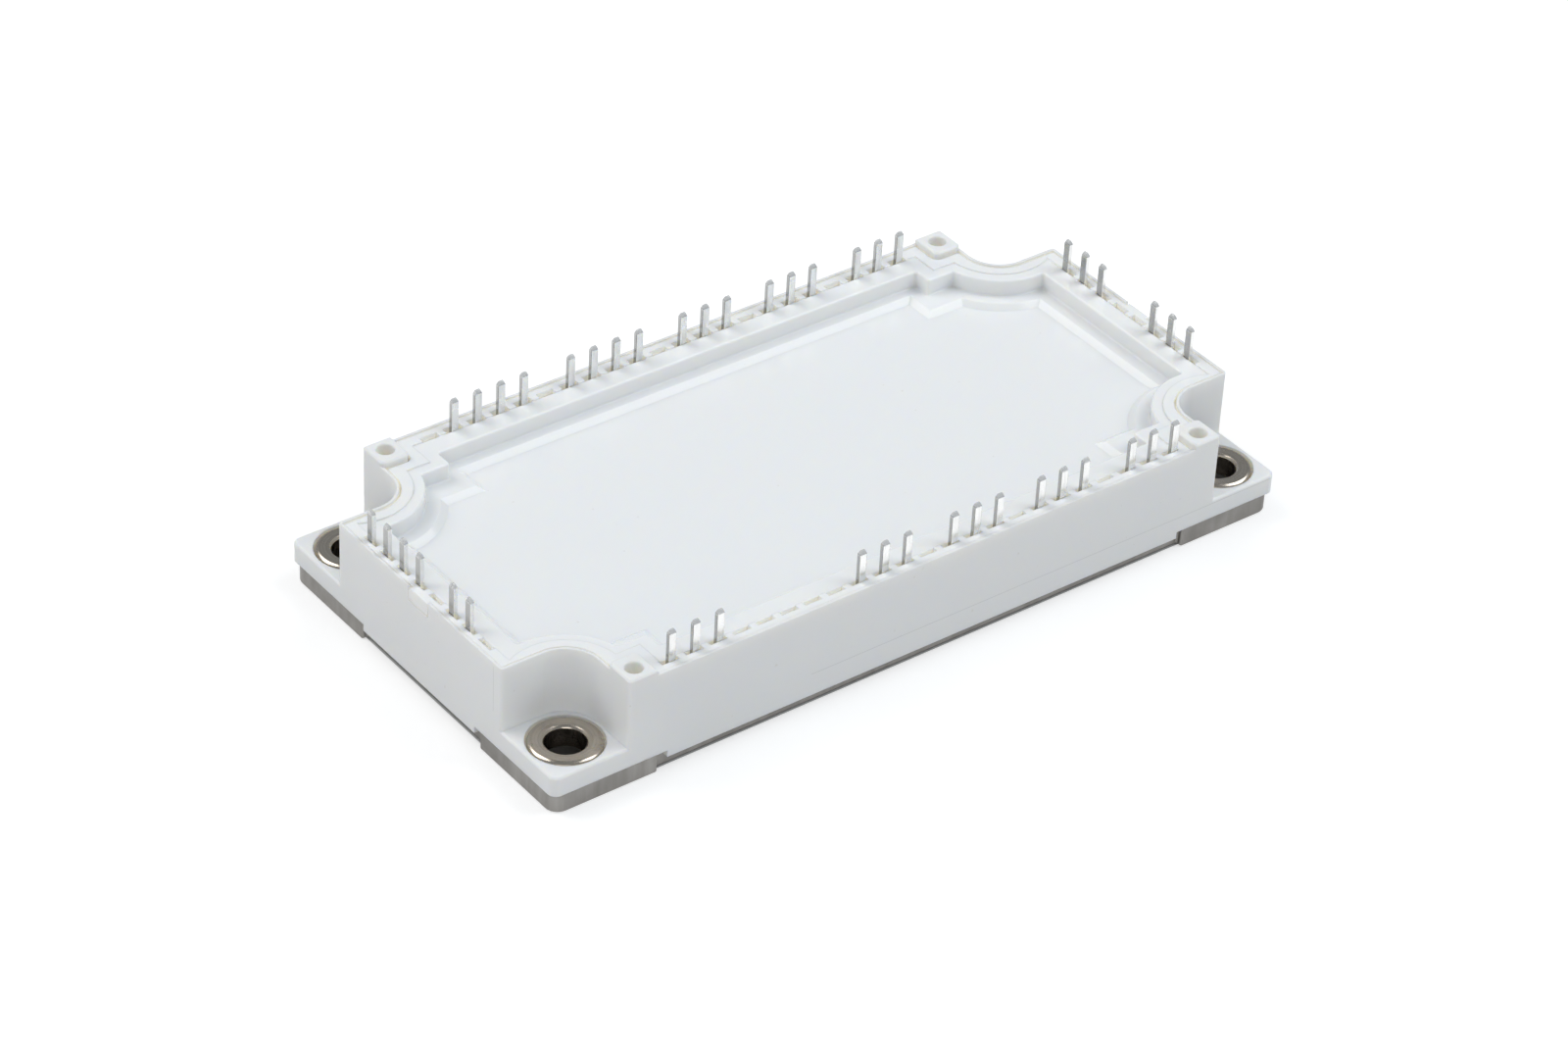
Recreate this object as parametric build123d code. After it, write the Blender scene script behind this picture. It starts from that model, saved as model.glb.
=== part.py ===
from build123d import *
import os

# Power transistor module: metal base plate, moulded frame with solder pins
# round its rim, and a dished lid. Lengths are in millimetres. X runs along
# the module, Z points up, and the origin is the middle of its underside.

# Rows of pin places, which set the length and width of the whole module
PIN_PITCH = 3.81
FRONT_SLOTS = 23
REAR_SLOTS = 22
SIDE_SLOTS = 8
SLOT_LENGTH = 2.7
FRONT_ROW_TO_POST = 1.74
SIDE_ROW_TO_POCKET = 4.415

# Runs of pins fitted, each by its first place and its number of pins. Places count
# from the left end of the long rows and from the rear end of the side rows.
FRONT_RUNS = ((0, 3), (8, 3), (12, 3), (16, 3), (20, 3))
REAR_RUNS = ((1, 4), (6, 4), (11, 3), (15, 3), (19, 3))
LEFT_RUNS = ((0, 4), (5, 2))
RIGHT_RUNS = ((0, 3), (5, 3))

# How far each run stands off the middles of its slots, to the right or the rear, as a
# share of the room beside a pin in its slot
FRONT_SHIFTS = (0.3, 0.45, 0.65, 0.1, 0.85)
REAR_SHIFTS = (0.2, 0.4, 0.25, 0.0, 0.35)
LEFT_SHIFTS = (0.25, 0.1)
RIGHT_SHIFTS = (0.85, 0.85)

# Posts that carry a circuit board
POST_SIZE_X = 4.5
POST_DEPTH = 4.9
POST_INSET_Y = 2.25
POST_RISE = 0.8
POST_CORNER_RADIUS = 0.8
POST_EDGE_CHAMFER = 0.25
POST_HOLE_DIAMETER = 2.5
POST_HOLE_DEPTH = 9.0
POST_HOLE_CHAMFER = 0.15

# Corner pockets and the fixing holes in them
POCKET_REACH_X = 5.5
POCKET_REACH_Y = 5.9
POCKET_RADIUS = 5.0
POCKET_EDGE_RADIUS = 0.5
HOLE_INSET = 6.0
HOLE_DIAMETER = 5.5

# Base plate
PLATE_THICKNESS = 3.0
PLATE_MARGIN = 0.3
PLATE_CORNER_RADIUS = 2.0
PLATE_EDGE_CHAMFER = 0.15
RECESS_DEPTH = 0.9
RECESS_RADIUS = 0.35
RECESS_END_X = 16.6
RECESS_END_Y = 17.1

# Flanged sleeves in the fixing holes
SLEEVE_DIAMETER = 7.6
FLANGE_DIAMETER = 10.0
FLANGE_THICKNESS = 1.2
FLANGE_PROUD = 0.1
FLANGE_CHAMFER = 0.45
FLANGE_CHAMFER_DROP = 0.3
BORE_CHAMFER = 0.35
SLEEVE_CLEARANCE = 0.1
FLANGE_CLEARANCE = 0.3

# Moulded frame
GLUE_THICKNESS = 0.15
EAR_THICKNESS = 3.0
EAR_CORNER_RADIUS = 1.3
EAR_EDGE_CHAMFER = 0.25
RIM_Z = 16.2
WALL_THICKNESS = 3.4
POCKET_WALL = 2.0
LEDGE_WIDTH = 3.0
POCKET_LEDGE_WIDTH = 1.0
LEDGE_Z = 7.0
SKIRT_END = 17.9
SKIRT_DROP = 1.05
SKIRT_CLEARANCE = 0.2

# Lid and the lip of the frame round it
LIP_THICKNESS = 0.4
LID_GAP = 0.15
LID_CORNER_GAP = 0.3
LID_SET_DOWN = 0.15
LID_THICKNESS = 1.4
LID_RIM_THICKNESS = 0.9
RIM_STEP = 0.2
RIM_STEP_MARGIN = 1.9
RIM_STEP_BULGE = 8.2
TRAY_RIM_X = 5.0
TRAY_RIM_Y = 5.5
TRAY_NOTCH_X = 4.1
TRAY_NOTCH_Y = 3.5
TRAY_BULGE = 9.8
TRAY_DEPTH = 2.55
TRAY_CORNER_RADIUS = 0.4
TRAY_CREST_RADIUS = 0.3
TRAY_FOOT_RADIUS = 0.3
SHELF_WIDTH_X = 2.0
SHELF_WIDTH_Y = 1.5
SHELF_NOTCH_WIDTH_Y = 3.2
BAND_WIDTH = 1.0
BAND_DROP = 0.7
TAB_WIDTH = 4.4
TAB_DEPTH = 2.0
TAB_THICKNESS = 0.8
TAB_CORNER_RADIUS = 0.4
TAB_CLEARANCE = 0.12

# Terminal pins
PIN_WIDTH = 1.15
PIN_THICKNESS = 0.7
PIN_TIP_Z = 20.9
PIN_TIP_LENGTH = 0.55
PIN_TIP_INSET = 0.22
PIN_INSET_X = 1.7
PIN_INSET_Y = 2.0
PIN_FOOT_LENGTH = 4.4
SLOT_CLEARANCE = 0.08

# Circuit inside the frame
SUBSTRATE_COUNT = 3
SUBSTRATE_MARGIN_X = 8.4
SUBSTRATE_MARGIN_Y = 4.6
SUBSTRATE_GAP = 1.2
COPPER_THICKNESS = 0.3
CERAMIC_THICKNESS = 0.63
COPPER_MARGIN = 1.0
TRACK_GAP = 1.6
IGBT_SIZE = 9.5
DIODE_SIZE = 7.0
CHIP_THICKNESS = 0.25
CHIP_SPACING = 17.0
THERMISTOR_OVERLAP = 0.8
THERMISTOR_WIDTH = 1.6
THERMISTOR_HEIGHT = 0.9
WIRE_THICKNESS = 0.3
WIRE_FOOT = 0.8
WIRE_RISE = 1.1
WIRE_INSET = 0.6
WIRES_PER_CHIP = 2
WIRE_SPACING = 3.2
GEL_Z = 9.6

# Places in plan, worked outwards from the rows of pin places
front_row_end = (FRONT_SLOTS - 1) / 2 * PIN_PITCH + SLOT_LENGTH / 2
side_row_end = (SIDE_SLOTS - 1) / 2 * PIN_PITCH + SLOT_LENGTH / 2
post_face_x = front_row_end + FRONT_ROW_TO_POST
post_x = post_face_x + POST_SIZE_X / 2
pocket_x = post_face_x + POST_SIZE_X
pocket_y = side_row_end + SIDE_ROW_TO_POCKET
hole_x = pocket_x + POCKET_REACH_X
hole_y = pocket_y + POCKET_REACH_Y
body_x = hole_x + HOLE_INSET
body_y = hole_y + HOLE_INSET
post_y = body_y - POST_INSET_Y
post_face_y = body_y - POST_DEPTH
pin_row_x = body_x - PIN_INSET_X
pin_row_y = body_y - PIN_INSET_Y
plate_x = body_x - PLATE_MARGIN
plate_y = body_y - PLATE_MARGIN
slot_width = PIN_THICKNESS + 2 * SLOT_CLEARANCE
slot_play = (SLOT_LENGTH - PIN_WIDTH) / 2
well_x = body_x - WALL_THICKNESS - LEDGE_WIDTH
well_y = body_y - WALL_THICKNESS - LEDGE_WIDTH
corner_signs = ((-1, -1), (1, -1), (-1, 1), (1, 1))
hole_places = [(sx * hole_x, sy * hole_y) for sx, sy in corner_signs]
post_places = [(sx * post_x, sy * post_y) for sx, sy in corner_signs]

# Half sizes, notches and bulge of the lid's three stepped outlines
rim_step_size = (
    pin_row_x - slot_width / 2,
    pin_row_y - slot_width / 2,
    post_face_x - RIM_STEP_MARGIN,
    post_face_y - RIM_STEP_MARGIN,
    RIM_STEP_BULGE,
)
tray_size = (
    body_x - TRAY_RIM_X,
    body_y - TRAY_RIM_Y,
    post_face_x - TRAY_NOTCH_X,
    post_face_y - TRAY_NOTCH_Y,
    TRAY_BULGE,
)
band_size = (
    tray_size[0] - SHELF_WIDTH_X,
    tray_size[1] - SHELF_WIDTH_Y,
    tray_size[2] - SHELF_WIDTH_X,
    tray_size[3] - SHELF_NOTCH_WIDTH_Y,
    TRAY_BULGE + SHELF_WIDTH_X,
)

# Levels above the underside
frame_base_z = PLATE_THICKNESS + GLUE_THICKNESS
ear_z = frame_base_z + EAR_THICKNESS
skirt_z = frame_base_z - SKIRT_DROP
post_z = RIM_Z + POST_RISE
lid_z = RIM_Z - LID_SET_DOWN
lid_seat_z = lid_z - LID_RIM_THICKNESS
rim_step_z = lid_z - RIM_STEP
shelf_z = rim_step_z - TRAY_DEPTH
floor_z = shelf_z - BAND_DROP
ceramic_z = PLATE_THICKNESS + COPPER_THICKNESS
track_z = ceramic_z + CERAMIC_THICKNESS
chip_seat_z = track_z + COPPER_THICKNESS
chip_z = chip_seat_z + CHIP_THICKNESS
foot_z = LEDGE_Z + PIN_THICKNESS

# Circuit sizes that follow from the well in the frame
substrate_span = 2 * (well_x - SUBSTRATE_MARGIN_X) - (SUBSTRATE_COUNT - 1) * SUBSTRATE_GAP
substrate_length = substrate_span / SUBSTRATE_COUNT
substrate_width = 2 * (well_y - SUBSTRATE_MARGIN_Y)
track_length = (substrate_length - 2 * COPPER_MARGIN - TRACK_GAP) / 2
track_width = substrate_width - 2 * COPPER_MARGIN
track_reach = (track_length + TRACK_GAP) / 2


def prism(outline, low, high):
    """A flat outline raised from one level to another."""
    return extrude(Pos(0, 0, low) * outline, amount=high - low)


def block(x_range, y_range, z_range):
    """A box given by its two limits along each axis."""
    size = [high - low for low, high in (x_range, y_range, z_range)]
    middle = [(high + low) / 2 for low, high in (x_range, y_range, z_range)]
    return Pos(*middle) * Box(*size)


def body_outline(inset=0.0, pocket_inset=None):
    """Outline of the frame above its ears, set in from the outer wall."""
    if pocket_inset is None:
        pocket_inset = inset
    outline = Rectangle(2 * (body_x - inset), 2 * (body_y - inset))
    side = 2 * body_x
    for sx, sy in corner_signs:
        x = sx * (pocket_x - pocket_inset + side / 2)
        y = sy * (pocket_y - pocket_inset + side / 2)
        outline -= Pos(x, y) * RectangleRounded(side, side, POCKET_RADIUS + pocket_inset)
    return outline


def wall_outline():
    """Outline of the frame's outer wall, with its outer corners eased."""
    outline = body_outline()
    corners = [
        v for v in outline.vertices()
        if body_x - abs(v.X) < LIP_THICKNESS or body_y - abs(v.Y) < LIP_THICKNESS
    ]
    return fillet(corners, POCKET_EDGE_RADIUS)


def post_outlines(grow=0.0):
    """Outlines of the four posts; their outer halves lie outside the frame."""
    width = POST_SIZE_X + 2 * grow
    depth = 2 * (POST_DEPTH + grow)
    post = RectangleRounded(width, depth, POST_CORNER_RADIUS + grow)
    return [Pos(sx * post_x, sy * body_y) * post for sx, sy in corner_signs]


def dished_outline(size, shrink=0.0):
    """Rectangle stepped in at each post and curved in at each fixing hole."""
    half_x, half_y, notch_x, notch_y = [length - shrink for length in size[:-1]]
    outline = Rectangle(2 * notch_x, 2 * half_y) + Rectangle(2 * half_x, 2 * notch_y)
    bulge = Circle(size[-1] + shrink)
    return outline - [Pos(x, y) * bulge for x, y in hole_places]


def well_outline():
    """Outline of the well for the circuit, inside the ledge for the pins' feet."""
    return body_outline(WALL_THICKNESS + LEDGE_WIDTH, POCKET_WALL + POCKET_LEDGE_WIDTH)


def hole_outlines(diameter):
    """Circles on the four fixing holes."""
    return [Pos(x, y) * Circle(diameter / 2) for x, y in hole_places]


def row_places(count):
    """Places along a row of slots centred on the module."""
    return [(k - (count - 1) / 2) * PIN_PITCH for k in range(count)]


def pin_places(slots, runs, shifts):
    """Places along a row of the pins in it, each run set off within its slots."""
    return [
        slots[first + k] + shift * slot_play
        for (first, number), shift in zip(runs, shifts) for k in range(number)
    ]


def pin_frames():
    """Name, place and turn of every pin, with its foot pointing inwards."""
    side_slots = row_places(SIDE_SLOTS)[::-1]
    front = pin_places(row_places(FRONT_SLOTS), FRONT_RUNS, FRONT_SHIFTS)
    rear = pin_places(row_places(REAR_SLOTS), REAR_RUNS, REAR_SHIFTS)
    left = pin_places(side_slots, LEFT_RUNS, LEFT_SHIFTS)
    right = pin_places(side_slots, RIGHT_RUNS, RIGHT_SHIFTS)
    rows = (
        ("front", [(x, -pin_row_y) for x in front], 0),
        ("rear", [(x, pin_row_y) for x in rear], 180),
        ("left", [(-pin_row_x, y) for y in left], 270),
        ("right", [(pin_row_x, y) for y in right], 90),
    )
    frames = {}
    for side, places, turn in rows:
        for number, (x, y) in enumerate(places, start=1):
            frames[f"pin_{side}_{number:02d}"] = Pos(x, y) * Rot(0, 0, turn)
    return frames


def pin_solid():
    """Bent pin: an upright shank with a pointed tip and a foot for the wires."""
    section = Rectangle(PIN_WIDTH, PIN_THICKNESS)
    end = Rectangle(PIN_WIDTH - 2 * PIN_TIP_INSET, PIN_THICKNESS - 2 * PIN_TIP_INSET)
    shoulder_z = PIN_TIP_Z - PIN_TIP_LENGTH
    tip = loft([Pos(0, 0, shoulder_z) * section, Pos(0, 0, PIN_TIP_Z) * end], ruled=True)
    foot = block(
        (-PIN_WIDTH / 2, PIN_WIDTH / 2),
        (-PIN_THICKNESS / 2, PIN_FOOT_LENGTH - PIN_THICKNESS / 2),
        (LEDGE_Z, foot_z),
    )
    return prism(section, LEDGE_Z, shoulder_z) + tip + foot


def plate_outline():
    """Outline of the base plate, with its sides set back between the corners."""
    outline = RectangleRounded(2 * plate_x, 2 * plate_y, PLATE_CORNER_RADIUS)
    recess_x = body_x - RECESS_END_X
    recess_y = body_y - RECESS_END_Y
    for s in (-1, 1):
        outline -= Pos(0, s * plate_y) * Rectangle(2 * recess_x, 2 * RECESS_DEPTH)
        outline -= Pos(s * plate_x, 0) * Rectangle(2 * RECESS_DEPTH, 2 * recess_y)
    corners = [
        v for v in outline.vertices()
        if abs(abs(v.X) - recess_x) < RECESS_RADIUS or abs(abs(v.Y) - recess_y) < RECESS_RADIUS
    ]
    return fillet(corners, RECESS_RADIUS)


def base_plate():
    """Metal plate with eased lower edges and four fixing holes."""
    plate = prism(plate_outline(), 0, PLATE_THICKNESS)
    underside = plate.faces().sort_by(Axis.Z)[0]
    plate = chamfer(underside.edges(), PLATE_EDGE_CHAMFER)
    return plate - prism(Sketch() + hole_outlines(HOLE_DIAMETER), 0, PLATE_THICKNESS)


def fixing_sleeve(place):
    """Flanged sleeve in an ear, standing on the base plate."""
    bore = HOLE_DIAMETER / 2
    body = SLEEVE_DIAMETER / 2
    flange = FLANGE_DIAMETER / 2
    top = ear_z + FLANGE_PROUD
    profile = make_face(Polyline(
        (bore, PLATE_THICKNESS),
        (body, PLATE_THICKNESS),
        (body, top - FLANGE_THICKNESS),
        (flange, top - FLANGE_THICKNESS),
        (flange, top - FLANGE_CHAMFER_DROP),
        (flange - FLANGE_CHAMFER, top),
        (bore + BORE_CHAMFER, top),
        (bore, top - BORE_CHAMFER),
        close=True,
    ))
    return Pos(*place) * revolve(Plane.XZ * profile, Axis.Z)


def frame_walls():
    """Ears, walls and posts of the frame before anything is cut out of it."""
    ears = prism(RectangleRounded(2 * body_x, 2 * body_y, EAR_CORNER_RADIUS), frame_base_z, ear_z)
    ears = chamfer(ears.faces().sort_by(Axis.Z)[-1].edges(), EAR_EDGE_CHAMFER)
    outline = wall_outline()
    posts = prism(outline & (Sketch() + post_outlines()), ear_z, post_z)
    crowns = posts.faces().filter_by(Axis.Z).group_by(Axis.Z)[-1].edges()
    return ears + prism(outline, frame_base_z, RIM_Z) + chamfer(crowns, POST_EDGE_CHAMFER)


def skirts():
    """Edges of the frame that hang over the set-back sides of the base plate."""
    recess = RECESS_DEPTH - SKIRT_CLEARANCE
    half_x = body_x - SKIRT_END
    half_y = body_y - SKIRT_END
    ring = Rectangle(2 * body_x, 2 * body_y)
    ring -= Rectangle(2 * (plate_x - recess), 2 * (plate_y - recess))
    spans = Rectangle(2 * half_x, 2 * body_y) + Rectangle(2 * body_x, 2 * half_y)
    return prism(ring & spans, skirt_z, frame_base_z)


def frame_hollow():
    """Space inside the frame: the circuit well, the upper well and the lid's seat."""
    posts = prism(Sketch() + post_outlines(), LEDGE_Z, post_z)
    well = prism(well_outline(), frame_base_z, LEDGE_Z)
    upper = prism(body_outline(WALL_THICKNESS, POCKET_WALL), LEDGE_Z, lid_seat_z)
    seat = prism(body_outline(LIP_THICKNESS), lid_seat_z, RIM_Z)
    return [well, upper - posts, seat - posts]


def sleeve_seats():
    """Stepped holes in the ears for the flanged sleeves."""
    seat_z = ear_z + FLANGE_PROUD - FLANGE_THICKNESS
    through = Sketch() + hole_outlines(SLEEVE_DIAMETER + 2 * SLEEVE_CLEARANCE)
    wide = Sketch() + hole_outlines(FLANGE_DIAMETER + 2 * FLANGE_CLEARANCE)
    return [prism(through, frame_base_z, ear_z), prism(wide, seat_z, ear_z)]


def post_holes():
    """Blind holes for self-tapping screws, with a countersunk mouth."""
    radius = POST_HOLE_DIAMETER / 2
    mouth = radius + POST_HOLE_CHAMFER
    hole = Pos(0, 0, post_z - POST_HOLE_DEPTH / 2) * Cylinder(radius, POST_HOLE_DEPTH)
    hole += Pos(0, 0, post_z - POST_HOLE_CHAMFER / 2) * Cone(radius, mouth, POST_HOLE_CHAMFER)
    return [Pos(x, y) * hole for x, y in post_places]


def end_tabs(grow, radius, top):
    """The lid's two end tabs, or the notches for them when grown."""
    height = top - lid_z + TAB_DEPTH + grow
    depth = TAB_THICKNESS + grow
    face = RectangleRounded(TAB_WIDTH + 2 * grow, height, radius)
    tab = extrude(Plane.YZ * face, amount=depth)
    return [Pos(x, 0, top - height / 2) * tab for x in (body_x - depth, -body_x)]


def housing(pins):
    """Moulded frame with the pins set into its walls."""
    body = frame_walls() + skirts()
    body -= frame_hollow()
    body -= sleeve_seats()
    body -= post_holes()
    body -= end_tabs(TAB_CLEARANCE, TAB_CLEARANCE, RIM_Z + TAB_CLEARANCE)
    return body - pins


def slot_outlines():
    """Slots over every pin place of the lid, filled or not."""
    lengthways = Rectangle(SLOT_LENGTH, slot_width)
    crossways = Rectangle(slot_width, SLOT_LENGTH)
    slots = [Pos(x, -pin_row_y) * lengthways for x in row_places(FRONT_SLOTS)]
    slots += [Pos(x, pin_row_y) * lengthways for x in row_places(REAR_SLOTS)]
    for side in (-pin_row_x, pin_row_x):
        slots += [Pos(side, y) * crossways for y in row_places(SIDE_SLOTS)]
    return Sketch() + slots


def lid():
    """Dished lid with a stepped rim, slots over the pins and two end tabs."""
    rim = body_outline(LIP_THICKNESS + LID_GAP, LIP_THICKNESS + LID_CORNER_GAP)
    rim -= post_outlines(LID_CORNER_GAP)
    rim -= slot_outlines()
    tray = dished_outline(tray_size)
    tray = fillet(tray.vertices(), TRAY_CORNER_RADIUS)
    band_top = dished_outline(band_size)
    band_foot = dished_outline(band_size, BAND_WIDTH)
    shape = prism(rim, lid_seat_z, lid_z)
    shape += prism(dished_outline(tray_size, -LID_THICKNESS), shelf_z - LID_THICKNESS, lid_seat_z)
    shape += prism(
        dished_outline(band_size, -LID_THICKNESS), floor_z - LID_THICKNESS, shelf_z - LID_THICKNESS
    )
    shape += end_tabs(0.0, TAB_CORNER_RADIUS, lid_z)
    shape -= prism(dished_outline(rim_step_size), rim_step_z, lid_z)
    dish = prism(tray, shelf_z, lid_z)
    shape -= fillet(dish.faces().sort_by(Axis.Z)[0].edges(), TRAY_FOOT_RADIUS)
    level_faces = shape.faces().filter_by(Axis.Z)
    rim_faces = [face for face in level_faces if abs(face.center().Z - rim_step_z) < RIM_STEP / 2]
    crest = max(rim_faces, key=lambda face: face.area).inner_wires()[0]
    shape = fillet(crest.edges(), TRAY_CREST_RADIUS)
    band = [Pos(0, 0, floor_z) * band_foot, Pos(0, 0, shelf_z) * band_top]
    return shape - loft(band, ruled=True)


def adhesive_seal():
    """Adhesive between the base plate and the frame."""
    holes = hole_outlines(SLEEVE_DIAMETER + 2 * SLEEVE_CLEARANCE)
    return prism(plate_outline() - well_outline() - holes, PLATE_THICKNESS, frame_base_z)


def substrate_middles():
    """Middles of the substrates along the module, from left to right."""
    pitch = substrate_length + SUBSTRATE_GAP
    return [(k - (SUBSTRATE_COUNT - 1) / 2) * pitch for k in range(SUBSTRATE_COUNT)]


def substrate(middle):
    """Ceramic plate with a copper back and two copper tracks."""
    back = Rectangle(substrate_length - 2 * COPPER_MARGIN, track_width)
    tracks = [Pos(s * track_reach, 0) * Rectangle(track_length, track_width) for s in (-1, 1)]
    shape = prism(back, PLATE_THICKNESS, ceramic_z)
    shape += prism(Rectangle(substrate_length, substrate_width), ceramic_z, track_z)
    return Pos(middle, 0) * (shape + prism(Sketch() + tracks, track_z, chip_seat_z))


def chip_places():
    """Places of the transistor chips and of the diode chips."""
    half = CHIP_SPACING / 2
    igbts = []
    diodes = []
    for middle in substrate_middles():
        igbts += [(middle - track_reach, half), (middle + track_reach, -half)]
        diodes += [(middle - track_reach, -half), (middle + track_reach, half)]
    return igbts, diodes


def chips(places, size):
    """A group of square chips on the copper tracks."""
    outlines = [Pos(x, y) * Rectangle(size, size) for x, y in places]
    return prism(Sketch() + outlines, chip_seat_z, chip_z)


def thermistor():
    """Small temperature sensor across the middle substrate's two tracks."""
    outline = Rectangle(TRACK_GAP + 2 * THERMISTOR_OVERLAP, THERMISTOR_WIDTH)
    return prism(outline, chip_seat_z, chip_seat_z + THERMISTOR_HEIGHT)


def bond_wire(start, end):
    """Bent wire with a flat foot at each end; the ends give x, y and level."""
    run = Vector(end[0] - start[0], end[1] - start[1], 0)
    crest = max(start[2], end[2]) + WIRE_RISE
    profile = make_face(Polyline(
        (0, start[2]),
        (WIRE_FOOT, start[2]),
        (run.length / 2, crest - WIRE_THICKNESS),
        (run.length - WIRE_FOOT, end[2]),
        (run.length, end[2]),
        (run.length / 2, crest),
        close=True,
    ))
    wire = extrude(Plane.XZ * profile, WIRE_THICKNESS / 2, both=True)
    return Plane(origin=(start[0], start[1], 0), x_dir=run, z_dir=(0, 0, 1)).location * wire


def landing(x, y):
    """Nearest point on a copper track for a wire that comes from a pin."""
    reach_x = track_length / 2 - WIRE_INSET
    reach_y = track_width / 2 - WIRE_INSET
    tracks = [m + s * track_reach for m in substrate_middles() for s in (-1, 1)]
    track = min(tracks, key=lambda middle: abs(middle - x))
    near_x = min(max(x, track - reach_x), track + reach_x)
    return near_x, min(max(y, -reach_y), reach_y), chip_seat_z


def bond_wires():
    """Wires from the pins' feet to the tracks, and from the chips to the next track."""
    wires = []
    foot_reach = PIN_FOOT_LENGTH - PIN_THICKNESS / 2 - WIRE_INSET
    for frame in pin_frames().values():
        foot = (frame * Pos(0, foot_reach)).position
        wires.append(bond_wire((foot.X, foot.Y, foot_z), landing(foot.X, foot.Y)))
    igbts, diodes = chip_places()
    for x, y in igbts + diodes:
        middle = min(substrate_middles(), key=lambda place: abs(place - x))
        landing_reach = TRACK_GAP / 2 + WIRE_INSET + WIRE_FOOT / 2
        end_x = middle + (landing_reach if x < middle else -landing_reach)
        for k in range(WIRES_PER_CHIP):
            wire_y = y + (k - (WIRES_PER_CHIP - 1) / 2) * WIRE_SPACING
            wires.append(bond_wire((x, wire_y, chip_z), (end_x, wire_y, chip_seat_z)))
    return wires


def silicone_gel(contents):
    """Gel poured over the circuit, up to a level below the lid."""
    upper = body_outline(WALL_THICKNESS, POCKET_WALL) - post_outlines()
    gel = prism(well_outline(), PLATE_THICKNESS, LEDGE_Z) + prism(upper, LEDGE_Z, GEL_Z)
    return gel - contents


def build_parts():
    """Every piece of the module by name."""
    shape = pin_solid()
    parts = {name: frame * shape for name, frame in pin_frames().items()}
    pins = list(parts.values())
    parts["base_plate"] = base_plate()
    parts["housing"] = housing(pins)
    parts["lid"] = lid()
    parts["adhesive_seal"] = adhesive_seal()
    corners = ("front_left", "front_right", "rear_left", "rear_right")
    for corner, place in zip(corners, hole_places):
        parts[f"fixing_sleeve_{corner}"] = fixing_sleeve(place)
    igbts, diodes = chip_places()
    inside = {}
    for side, middle in zip(("left", "middle", "right"), substrate_middles()):
        inside[f"substrate_{side}"] = substrate(middle)
    inside["igbt_chips"] = chips(igbts, IGBT_SIZE)
    inside["diode_chips"] = chips(diodes, DIODE_SIZE)
    inside["thermistor"] = thermistor()
    wires = bond_wires()
    parts.update(inside)
    parts["bond_wires"] = Compound(children=wires)
    parts["silicone_gel"] = silicone_gel(pins + list(inside.values()) + wires)
    return parts


os.makedirs("parts", exist_ok=True)
for node, solid in build_parts().items():
    export_step(solid, f"parts/{node}.step")
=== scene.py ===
import math

import bpy
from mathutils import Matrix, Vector


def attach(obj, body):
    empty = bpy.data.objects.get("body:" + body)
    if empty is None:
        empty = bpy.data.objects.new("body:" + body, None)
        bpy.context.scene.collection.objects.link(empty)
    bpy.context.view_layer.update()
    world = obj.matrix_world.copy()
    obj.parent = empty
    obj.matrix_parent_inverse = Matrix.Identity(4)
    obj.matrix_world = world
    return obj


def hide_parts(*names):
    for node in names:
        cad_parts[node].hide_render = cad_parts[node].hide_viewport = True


# Looks of the power module: the CAD solids, the metal ones with their edges
# eased, the finish of every piece, and the table-top studio that it is seen in.
# Lengths are in metres, in the same frame as the CAD.

MM = 0.001
HOLE_X = 55 * MM
HOLE_Y = 25 * MM

# How much the edges of the metal pieces are eased, and how round the moulded
# edges look.
PLATE_EASING = 0.10 * MM
SLEEVE_EASING = 0.14 * MM
PIN_EASING = 0.09 * MM
MOULDED_EDGE_RADIUS = 0.22 * MM

# Corner points closer than this are one point, and faces flatter to each other
# than this are one face, before an edge sharper than the last angle is eased.
MERGE_DISTANCE = 0.002 * MM
FLAT_ANGLE = math.radians(0.5)
EASED_ANGLE = math.radians(32)

# Painted glow: deep in slots, holes and gaps the white plastic gives off a faint warm light, so they
# are never black.
PAINTED_GAP_GLOW = 0.115
PAINTED_GAP_GLOW_COLOUR = (1.0, 0.95, 0.84, 1)

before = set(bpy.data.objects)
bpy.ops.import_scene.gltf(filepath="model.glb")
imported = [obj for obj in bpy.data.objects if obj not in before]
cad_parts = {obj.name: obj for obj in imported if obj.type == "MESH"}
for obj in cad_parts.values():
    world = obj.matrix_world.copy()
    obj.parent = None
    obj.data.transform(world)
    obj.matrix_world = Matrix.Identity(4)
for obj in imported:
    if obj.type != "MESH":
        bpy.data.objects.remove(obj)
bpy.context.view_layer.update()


def deselect_all():
    bpy.ops.object.select_all(action="DESELECT")


def cover(piece, finish):
    """Gives a piece one finish all over."""
    if piece.material_slots:
        for slot in piece.material_slots:
            slot.material = finish
    else:
        piece.data.materials.append(finish)


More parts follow.
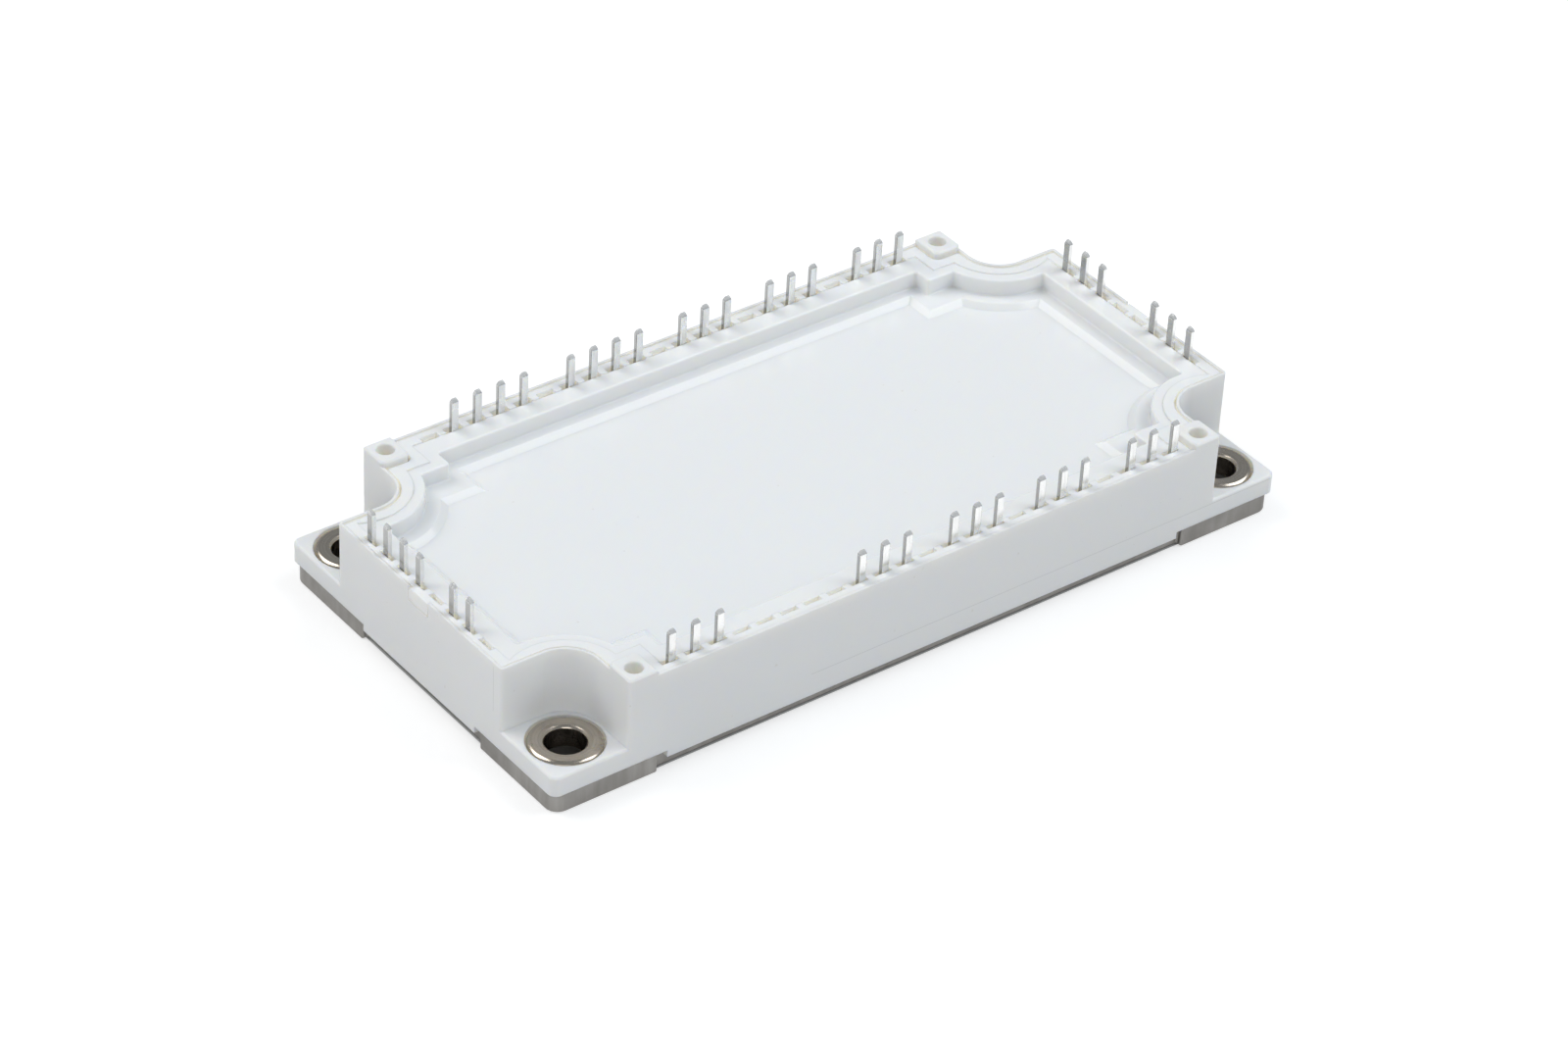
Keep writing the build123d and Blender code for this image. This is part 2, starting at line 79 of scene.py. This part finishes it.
def eased_copy(node, piece_name, finish, width, smooth=40):
    """A merged copy of a CAD node with softly rounded edges, shown in its place."""
    deselect_all()
    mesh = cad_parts[node].data.copy()
    piece = bpy.data.objects.new(piece_name, mesh)
    bpy.context.scene.collection.objects.link(piece)
    bpy.context.view_layer.objects.active = piece
    piece.select_set(True)
    bpy.ops.mesh.customdata_custom_splitnormals_clear()
    bpy.ops.object.mode_set(mode="EDIT")
    bpy.ops.mesh.select_all(action="SELECT")
    bpy.ops.mesh.remove_doubles(threshold=MERGE_DISTANCE)
    bpy.ops.mesh.dissolve_limited(angle_limit=FLAT_ANGLE)
    bpy.ops.object.mode_set(mode="OBJECT")
    easing = piece.modifiers.new("eased_edges", "BEVEL")
    easing.width = width
    easing.segments = 2
    easing.limit_method = "ANGLE"
    easing.angle_limit = EASED_ANGLE
    easing.use_clamp_overlap = False
    easing.miter_outer = "MITER_ARC"
    bpy.ops.object.modifier_apply(modifier=easing.name)
    bpy.ops.object.shade_smooth_by_angle(angle=math.radians(smooth))
    evening = piece.modifiers.new("flat_faces_stay_flat", "WEIGHTED_NORMAL")
    evening.keep_sharp = True
    evening.weight = 90
    bpy.ops.object.modifier_apply(modifier=evening.name)
    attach(piece, "root")
    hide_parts(node)
    cover(piece, finish)


# Building blocks for the finishes

def start_finish(name, metallic, specular=0.5):
    """A new material with its shader and the object's own coordinates."""
    made = bpy.data.materials.new(name)
    made.use_nodes = True
    tree = made.node_tree
    shader = tree.nodes["Principled BSDF"]
    shader.inputs["Metallic"].default_value = metallic
    shader.inputs["Specular IOR Level"].default_value = specular
    coords = tree.nodes.new("ShaderNodeTexCoord").outputs["Object"]
    return made, tree, shader, coords


def noise(tree, coords, scale, detail=2.0, stretch=(1, 1, 1)):
    mapping = tree.nodes.new("ShaderNodeMapping")
    mapping.inputs["Scale"].default_value = stretch
    tree.links.new(coords, mapping.inputs["Vector"])
    texture = tree.nodes.new("ShaderNodeTexNoise")
    texture.inputs["Scale"].default_value = scale
    texture.inputs["Detail"].default_value = detail
    tree.links.new(mapping.outputs["Vector"], texture.inputs["Vector"])
    return texture.outputs["Fac"]


def spread(tree, value, low, high, start=0.3, end=0.7):
    """A value brought from one range to another."""
    ranged = tree.nodes.new("ShaderNodeMapRange")
    ranged.inputs["From Min"].default_value = start
    ranged.inputs["From Max"].default_value = end
    ranged.inputs["To Min"].default_value = low
    ranged.inputs["To Max"].default_value = high
    tree.links.new(value, ranged.inputs["Value"])
    return ranged.outputs["Result"]


def mix(tree, factor, first, second):
    """Two colours, given as numbers or as outputs, mixed by a factor."""
    mixer = tree.nodes.new("ShaderNodeMix")
    mixer.data_type = "RGBA"
    tree.links.new(factor, mixer.inputs["Factor"])
    for socket, colour in ((mixer.inputs["A"], first), (mixer.inputs["B"], second)):
        if isinstance(colour, tuple):
            socket.default_value = (*colour, 1)
        else:
            tree.links.new(colour, socket)
    return mixer.outputs["Result"]


def calc(tree, operation, first, second=None, third=None):
    """One step of arithmetic on outputs or numbers."""
    step = tree.nodes.new("ShaderNodeMath")
    step.operation = operation
    for socket, value in zip(step.inputs, (first, second, third)):
        if value is None:
            continue
        if isinstance(value, (int, float)):
            socket.default_value = value
        else:
            tree.links.new(value, socket)
    return step.outputs["Value"]


def axes(tree, coords):
    split = tree.nodes.new("ShaderNodeSeparateXYZ")
    tree.links.new(coords, split.inputs["Vector"])
    return split.outputs["X"], split.outputs["Y"], split.outputs["Z"]


def between(tree, value, low, high):
    """1 where a value lies between two limits, otherwise 0."""
    return calc(tree, "COMPARE", value, (low + high) / 2, (high - low) / 2)


def product(tree, *factors):
    total = factors[0]
    for factor in factors[1:]:
        total = calc(tree, "MULTIPLY", total, factor)
    return total


def rounded_edges(tree, radius):
    """Surface directions that turn smoothly over sharp edges, as a mould leaves them."""
    rounding = tree.nodes.new("ShaderNodeBevel")
    rounding.samples = 6
    rounding.inputs["Radius"].default_value = radius
    return rounding.outputs["Normal"]


def bump(tree, shader, layers, normal=None):
    """Relief from several heights, each with its depth in metres."""
    for height, depth in layers:
        relief = tree.nodes.new("ShaderNodeBump")
        relief.inputs["Strength"].default_value = 1.0
        relief.inputs["Distance"].default_value = depth
        tree.links.new(height, relief.inputs["Height"])
        if normal is not None:
            tree.links.new(normal, relief.inputs["Normal"])
        normal = relief.outputs["Normal"]
    tree.links.new(normal, shader.inputs["Normal"])


def crevice(tree, reach, open_share):
    """1 deep in a narrow gap or hole, 0 on open surfaces."""
    shade = tree.nodes.new("ShaderNodeAmbientOcclusion")
    shade.samples = 8
    shade.inputs["Distance"].default_value = reach
    return spread(tree, shade.outputs["AO"], 1.0, 0.0, 0.04, open_share)


def moulded_plastic(name, colour, warm, painted_gap_light_colour, rough, lines=None):
    """White filled plastic: faint mottling, tiny specks, painted warm light and a painted glow in
    gaps, soft edges.
    """
    made, tree, shader, coords = start_finish(name, 0.0)
    mottle = spread(tree, noise(tree, coords, 40, 2.0), 0.0, 1.0)
    grain = noise(tree, coords, 4200, 2.0)
    base = mix(tree, mottle, colour, warm)
    speck = spread(tree, noise(tree, coords, 1500, 0.0), 0.0, 0.2, 0.87, 0.89)
    base = mix(tree, speck, base, (0.52, 0.46, 0.36))
    if lines:
        base = mix(tree, lines(tree, coords), base, (0.56, 0.57, 0.57))
    # Painted light: deep in gaps and holes the colour turns light and warm.
    painted_gap_light = crevice(tree, 3.0 * MM, 0.36)
    tree.links.new(mix(tree, painted_gap_light, base, painted_gap_light_colour), shader.inputs["Base Color"])
    # Painted glow: the plastic gives off a faint warm light deep in gaps and holes.
    shader.inputs["Emission Color"].default_value = PAINTED_GAP_GLOW_COLOUR
    tree.links.new(calc(tree, "MULTIPLY", painted_gap_light, PAINTED_GAP_GLOW), shader.inputs["Emission Strength"])
    shader.subsurface_method = "RANDOM_WALK"
    shader.inputs["Subsurface Weight"].default_value = 0.7
    shader.inputs["Subsurface Radius"].default_value = (1.0, 0.86, 0.62)
    shader.inputs["Subsurface Scale"].default_value = 0.9 * MM
    tree.links.new(
        spread(tree, noise(tree, coords, 260, 3.0), rough[0], rough[1]), shader.inputs["Roughness"]
    )
    swell = noise(tree, coords, 45, 1.0)
    edges = rounded_edges(tree, MOULDED_EDGE_RADIUS)
    bump(tree, shader, ((swell, 0.08 * MM), (grain, 0.0015 * MM)), edges)
    return made


def moulding_lines(tree, coords):
    """The thin lines that the mould left on the front wall and the left wall."""
    x, y, z = axes(tree, coords)
    front = product(
        tree,
        between(tree, z, 5.56 * MM, 5.66 * MM),
        between(tree, x, -20 * MM, 60 * MM),
        calc(tree, "LESS_THAN", y, -30.9 * MM),
    )
    side = product(
        tree,
        between(tree, y, -17.41 * MM, -17.31 * MM),
        between(tree, z, 8.5 * MM, 15.6 * MM),
        calc(tree, "LESS_THAN", x, -60.9 * MM),
    )
    return calc(tree, "MULTIPLY", calc(tree, "MAXIMUM", front, side), 0.55)


def plated_copper(name):
    """Nickel-plated base plate: satin, with a faint rolled grain along its sides."""
    made, tree, shader, coords = start_finish(name, 1.0)
    streaks = noise(tree, coords, 700, 4.0, (1, 1, 0.12))
    cloud = noise(tree, coords, 160, 3.0)
    tone = mix(tree, spread(tree, streaks, 0.0, 1.0), (0.25, 0.24, 0.225), (0.33, 0.32, 0.305))
    tone = mix(tree, spread(tree, cloud, 0.0, 0.5), tone, (0.20, 0.19, 0.178))
    tree.links.new(tone, shader.inputs["Base Color"])
    tree.links.new(spread(tree, cloud, 0.36, 0.52), shader.inputs["Roughness"])
    bump(tree, shader, ((streaks, 0.006 * MM), (noise(tree, coords, 5200, 2.0), 0.002 * MM)))
    return made


def turned_nickel(name):
    """Turned and nickel-plated sleeves: fine rings round each hole, painted shade deep in each bore.
    """
    made, tree, shader, coords = start_finish(name, 1.0)
    x, y, z = axes(tree, coords)
    off_x = calc(tree, "SUBTRACT", calc(tree, "ABSOLUTE", x), HOLE_X)
    off_y = calc(tree, "SUBTRACT", calc(tree, "ABSOLUTE", y), HOLE_Y)
    squares = calc(tree, "ADD", product(tree, off_x, off_x), product(tree, off_y, off_y))
    radius = calc(tree, "SQRT", squares)
    ring_place = tree.nodes.new("ShaderNodeCombineXYZ")
    tree.links.new(radius, ring_place.inputs["X"])
    tree.links.new(z, ring_place.inputs["Z"])
    rings = noise(tree, ring_place.outputs["Vector"], 5200, 3.0)
    stain = noise(tree, coords, 620, 4.0)
    tone = mix(tree, spread(tree, rings, 0.0, 1.0), (0.46, 0.41, 0.345), (0.58, 0.52, 0.445))
    tone = mix(tree, spread(tree, stain, 0.0, 0.6, 0.52, 0.8), tone, (0.36, 0.31, 0.26))
    # Painted shade: inside each bore the colour turns dark, darker the deeper it goes.
    painted_bore_shade = product(
        tree,
        calc(tree, "LESS_THAN", radius, 2.8 * MM),
        spread(tree, z, 1.0, 0.0, 3.4 * MM, 5.95 * MM),
    )
    tone = mix(tree, painted_bore_shade, tone, (0.13, 0.105, 0.08))
    tree.links.new(tone, shader.inputs["Base Color"])
    tree.links.new(spread(tree, stain, 0.16, 0.30), shader.inputs["Roughness"])
    bump(tree, shader, ((rings, 0.004 * MM),))
    return made


def bright_tin(name):
    """Tinned pins: drawn along their length, painted shade on the faces that point along x, painted
    light on the tips.
    """
    made, tree, shader, coords = start_finish(name, 1.0)
    drawn = noise(tree, coords, 2600, 3.0, (1, 1, 0.10))
    dip = noise(tree, coords, 900, 3.0, (1, 1, 0.45))
    tone = mix(tree, spread(tree, dip, 0.0, 1.0), (0.80, 0.80, 0.795), (0.94, 0.94, 0.93))
    tone = mix(tree, spread(tree, drawn, 0.0, 0.3, 0.5, 0.75), tone, (0.50, 0.495, 0.485))
    # Painted shade: pin faces that point along x are made darker.
    facing = tree.nodes.new("ShaderNodeTexCoord").outputs["Normal"]
    facing_x = axes(tree, facing)[0]
    painted_side_shade = spread(tree, calc(tree, "ABSOLUTE", facing_x), 0.0, 0.85, 0.45, 0.8)
    tone = mix(tree, painted_side_shade, tone, (0.33, 0.33, 0.325))
    # Painted light: the tips of the pins are made lighter and less metallic.
    height = axes(tree, coords)[2]
    painted_tip_light = spread(tree, height, 0.0, 1.0, 20.15 * MM, 20.6 * MM)
    tree.links.new(mix(tree, painted_tip_light, tone, (0.80, 0.80, 0.79)), shader.inputs["Base Color"])
    metal_share = calc(tree, "SUBTRACT", 1.0, calc(tree, "MULTIPLY", painted_tip_light, 0.55))
    tree.links.new(metal_share, shader.inputs["Metallic"])
    tree.links.new(spread(tree, dip, 0.14, 0.32), shader.inputs["Roughness"])
    bump(tree, shader, ((drawn, 0.012 * MM), (dip, 0.05 * MM)))
    return made


def substrate_finish(name):
    """White ceramic between two layers of nickel-plated copper."""
    made, tree, shader, coords = start_finish(name, 0.0)
    height = axes(tree, coords)[2]
    ceramic = between(tree, height, 3.29 * MM, 3.94 * MM)
    cloud = noise(tree, coords, 900, 4.0)
    copper = mix(tree, spread(tree, cloud, 0.0, 1.0), (0.60, 0.36, 0.24), (0.72, 0.47, 0.33))
    white = mix(tree, spread(tree, cloud, 0.0, 1.0), (0.80, 0.79, 0.76), (0.86, 0.85, 0.83))
    tree.links.new(mix(tree, ceramic, copper, white), shader.inputs["Base Color"])
    tree.links.new(calc(tree, "SUBTRACT", 1.0, ceramic), shader.inputs["Metallic"])
    tree.links.new(spread(tree, cloud, 0.3, 0.45), shader.inputs["Roughness"])
    bump(tree, shader, ((cloud, 0.01 * MM),))
    return made


def chip_finish(name):
    """Metallised chips: a fine grid of cells under a grey sheen."""
    made, tree, shader, coords = start_finish(name, 0.6)
    x, y = axes(tree, coords)[:2]
    cell_x = calc(tree, "PINGPONG", x, 0.25 * MM)
    cell_y = calc(tree, "PINGPONG", y, 0.25 * MM)
    line = calc(tree, "LESS_THAN", calc(tree, "MINIMUM", cell_x, cell_y), 0.03 * MM)
    cloud = noise(tree, coords, 700, 2.0)
    tone = mix(tree, spread(tree, cloud, 0.0, 1.0), (0.30, 0.31, 0.34), (0.38, 0.39, 0.42))
    tree.links.new(mix(tree, line, tone, (0.16, 0.17, 0.19)), shader.inputs["Base Color"])
    tree.links.new(spread(tree, cloud, 0.22, 0.36), shader.inputs["Roughness"])
    bump(tree, shader, ((line, 0.005 * MM),))
    return made


def plain_finish(name, dark, light, metallic, rough, scale, depth, transmission=0.0):
    """A finish with clouded colour, uneven gloss and a little relief."""
    made, tree, shader, coords = start_finish(name, metallic)
    cloud = noise(tree, coords, scale, 4.0)
    tree.links.new(mix(tree, spread(tree, cloud, 0.0, 1.0), dark, light), shader.inputs["Base Color"])
    tree.links.new(spread(tree, cloud, rough[0], rough[1]), shader.inputs["Roughness"])
    shader.inputs["Transmission Weight"].default_value = transmission
    bump(tree, shader, ((cloud, depth),))
    return made


# The studio

def place_camera():
    data = bpy.data.cameras.new("studio_camera")
    data.sensor_width = 36
    data.lens = 113.29
    data.clip_start = 0.01
    data.clip_end = 20
    camera = bpy.data.objects.new("studio_camera", data)
    bpy.context.scene.collection.objects.link(camera)
    camera.location = (-0.34274, -0.42697, 0.39922)
    camera.rotation_euler = [math.radians(angle) for angle in (54.0812, -2.4681, -36.8714)]
    bpy.context.scene.camera = camera


def softbox(name, azimuth, elevation, distance, size, watts, colour):
    """A square lamp that faces the module from a direction given in degrees."""
    data = bpy.data.lights.new(name, "AREA")
    data.shape = "SQUARE"
    data.size = size
    data.energy = watts
    data.color = colour
    lamp = bpy.data.objects.new(name, data)
    bpy.context.scene.collection.objects.link(lamp)
    turn = math.radians(azimuth)
    tilt = math.radians(elevation)
    towards = Vector((
        math.cos(turn) * math.cos(tilt), math.sin(turn) * math.cos(tilt), math.sin(tilt)
    ))
    lamp.location = towards * distance
    lamp.rotation_euler = towards.to_track_quat("Z", "Y").to_euler()


def seen_ray(tree):
    """1 for rays that show the surroundings: from the camera, in metal or through gel."""
    path = tree.nodes.new("ShaderNodeLightPath")
    seen = calc(tree, "MAXIMUM", path.outputs["Is Camera Ray"], path.outputs["Is Glossy Ray"])
    return calc(tree, "MAXIMUM", seen, path.outputs["Is Transmission Ray"])


def light_studio():
    world = bpy.data.worlds.new("studio_air")
    bpy.context.scene.world = world
    world.use_nodes = True
    tree = world.node_tree
    air = tree.nodes["Background"]
    air.inputs["Color"].default_value = (0.87, 0.935, 1.0, 1)
    air.inputs["Strength"].default_value = 0.34
    softbox("left_softbox", 125.6, 49, 1.1, 0.75, 5.7, (1.0, 0.985, 0.965))
    softbox("right_softbox", -23.0, 49, 1.1, 0.75, 5.7, (0.95, 0.98, 1.0))
    softbox("front_fill", -130.0, 18, 1.3, 0.9, 4.2, (1.0, 0.985, 0.96))


def lay_floor():
    deselect_all()
    bpy.ops.mesh.primitive_plane_add(size=8, location=(0, 0, -0.02 * MM))
    floor = bpy.context.active_object
    floor.name = "studio_floor"
    made = bpy.data.materials.new("pale_floor")
    made.use_nodes = True
    tree = made.node_tree
    shader = tree.nodes["Principled BSDF"]
    coords = tree.nodes.new("ShaderNodeTexCoord").outputs["Object"]
    cloud = spread(tree, noise(tree, coords, 30, 2.0), 0.0, 1.0)
    paper = mix(tree, cloud, (0.60, 0.60, 0.60), (0.62, 0.62, 0.62))
    tree.links.new(paper, shader.inputs["Base Color"])
    shader.inputs["Roughness"].default_value = 0.9
    shader.inputs["Specular IOR Level"].default_value = 0.1
    shader.inputs["Emission Color"].default_value = (1, 1, 1, 1)
    x, y = axes(tree, coords)[:2]
    under = product(tree, between(tree, x, -60 * MM, 60 * MM), between(tree, y, -30 * MM, 30 * MM))
    lift = product(tree, seen_ray(tree), calc(tree, "SUBTRACT", 1.0, under), 0.52)
    tree.links.new(lift, shader.inputs["Emission Strength"])
    floor.data.materials.append(made)


bpy.context.scene.view_settings.view_transform = "Standard"
place_camera()
light_studio()
lay_floor()

# Each plastic: its colour, its mottled tone, the painted warm light in its gaps, its range of
# roughness and, for the frame, its mould lines.
white_frame = moulded_plastic(
    "white_frame_plastic", (0.82, 0.83, 0.835), (0.825, 0.83, 0.83), (0.975, 0.945, 0.84),
    (0.32, 0.42), moulding_lines,
)
white_lid = moulded_plastic(
    "white_lid_plastic", (0.845, 0.86, 0.87), (0.85, 0.86, 0.865), (0.975, 0.945, 0.84),
    (0.13, 0.2),
)
plated_base = plated_copper("nickel_plated_base")
sleeve_nickel = turned_nickel("turned_sleeve_nickel")
pin_tin = bright_tin("bright_pin_tin")
substrate_layers = substrate_finish("substrate_layers")
chip_cells = chip_finish("chip_cells")
sensor_body = plain_finish(
    "sensor_body", (0.05, 0.05, 0.055), (0.10, 0.10, 0.10), 0.0, (0.4, 0.6), 1500, 0.02 * MM
)
wire_aluminium = plain_finish(
    "wire_aluminium", (0.70, 0.70, 0.71), (0.84, 0.84, 0.85), 1.0, (0.25, 0.4), 2500, 0.01 * MM
)
soft_gel = plain_finish(
    "soft_gel", (0.93, 0.94, 0.94), (0.97, 0.97, 0.97), 0.0, (0.05, 0.12), 300, 0.02 * MM, 0.9
)
seal_bead = plain_finish(
    "seal_bead", (0.42, 0.43, 0.44), (0.52, 0.53, 0.54), 0.0, (0.5, 0.7), 1200, 0.03 * MM
)

finishes = {
    "housing": white_frame,
    "lid": white_lid,
    "base_plate": plated_base,
    "fixing_sleeve": sleeve_nickel,
    "pin": pin_tin,
    "substrate": substrate_layers,
    "igbt_chips": chip_cells,
    "diode_chips": chip_cells,
    "thermistor": sensor_body,
    "bond_wires": wire_aluminium,
    "silicone_gel": soft_gel,
    "adhesive_seal": seal_bead,
}
for node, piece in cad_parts.items():
    for start, finish in finishes.items():
        if node.startswith(start):
            cover(piece, finish)

eased_copy("base_plate", "plated_plate", plated_base, PLATE_EASING)
for node in sorted(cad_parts):
    if node.startswith("fixing_sleeve"):
        eased_copy(node, node.replace("fixing", "turned"), sleeve_nickel, SLEEVE_EASING)
    if node.startswith("pin"):
        eased_copy(node, "tinned_" + node, pin_tin, PIN_EASING, smooth=20)
